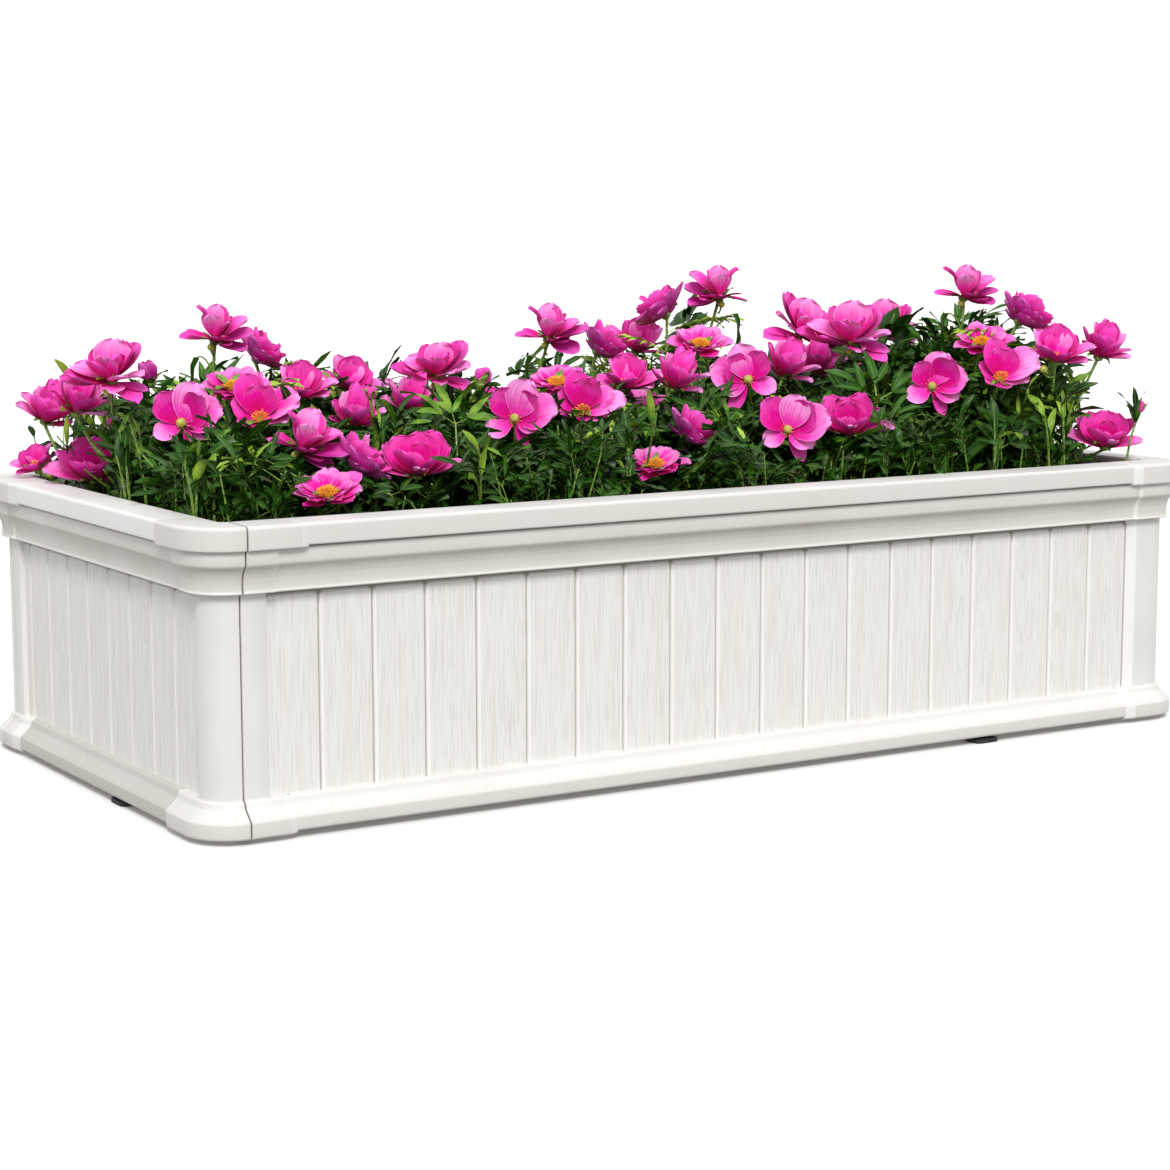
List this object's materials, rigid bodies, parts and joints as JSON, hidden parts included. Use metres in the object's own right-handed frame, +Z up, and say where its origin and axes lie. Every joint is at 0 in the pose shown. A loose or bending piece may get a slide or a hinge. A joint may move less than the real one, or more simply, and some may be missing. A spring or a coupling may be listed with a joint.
{
  "type": "planted raised bed",
  "caption": "Rectangular raised garden bed of moulded boards with a wide rim and flared base, filled with soil and planted with flowering peonies",
  "frame": {"origin": "on the ground under the middle of the box", "axes": "+X along the long side, +Y to the back, +Z up"},
  "size_m": [1.2506, 0.6122, 0.5269],
  "materials": {
    "white_plastic": "satin",
    "foot_rubber": "matte",
    "soil": "matte",
    "peony_leaf": "satin",
    "peony_flower": "satin"
  },
  "bodies": {
    "root": {"base_rail_back": "white_plastic", "base_rail_front": "white_plastic", "base_rail_left": "white_plastic", "base_rail_right": "white_plastic", "corner_post_back_left": "white_plastic", "corner_post_back_right": "white_plastic", "corner_post_front_left": "white_plastic", "corner_post_front_right": "white_plastic", "cove_rail_back": "white_plastic", "cove_rail_front": "white_plastic", "cove_rail_left": "white_plastic", "cove_rail_right": "white_plastic", "end_stile_back": "white_plastic", "end_stile_front": "white_plastic", "end_stile_left": "white_plastic", "end_stile_right": "white_plastic", "foot_pad_back": "foot_rubber", "foot_pad_front": "foot_rubber", "foot_pad_left": "foot_rubber", "foot_pad_right": "foot_rubber", "panel_back": "white_plastic", "panel_front": "white_plastic", "panel_left": "white_plastic", "panel_right": "white_plastic", "peony_01_flowers_a": "peony_flower", "peony_01_flowers_b": "peony_flower", "peony_01_flowers_c": "peony_flower", "peony_01_leaves": "peony_leaf", "peony_02_flowers_a": "peony_flower", "peony_02_leaves": "peony_leaf", "peony_03_flowers_a": "peony_flower", "peony_03_flowers_b": "peony_flower", "peony_03_leaves": "peony_leaf", "peony_04_flowers_a": "peony_flower", "peony_04_flowers_b": "peony_flower", "peony_04_leaves": "peony_leaf", "peony_05_flowers_a": "peony_flower", "peony_05_flowers_b": "peony_flower", "peony_05_leaves": "peony_leaf", "peony_06_flowers_a": "peony_flower", "peony_06_flowers_b": "peony_flower", "peony_06_leaves": "peony_leaf", "peony_07_flowers_a": "peony_flower", "peony_07_flowers_b": "peony_flower", "peony_07_leaves": "peony_leaf", "peony_08_flowers_a": "peony_flower", "peony_08_flowers_b": "peony_flower", "peony_08_leaves": "peony_leaf", "peony_09_flowers_a": "peony_flower", "peony_09_leaves": "peony_leaf", "peony_10_flowers_a": "peony_flower", "peony_10_flowers_b": "peony_flower", "peony_10_flowers_c": "peony_flower", "peony_10_leaves": "peony_leaf", "rim_rail_back": "white_plastic", "rim_rail_front": "white_plastic", "rim_rail_left": "white_plastic", "rim_rail_right": "white_plastic", "soil": "soil"}
  },
  "joints": []
}
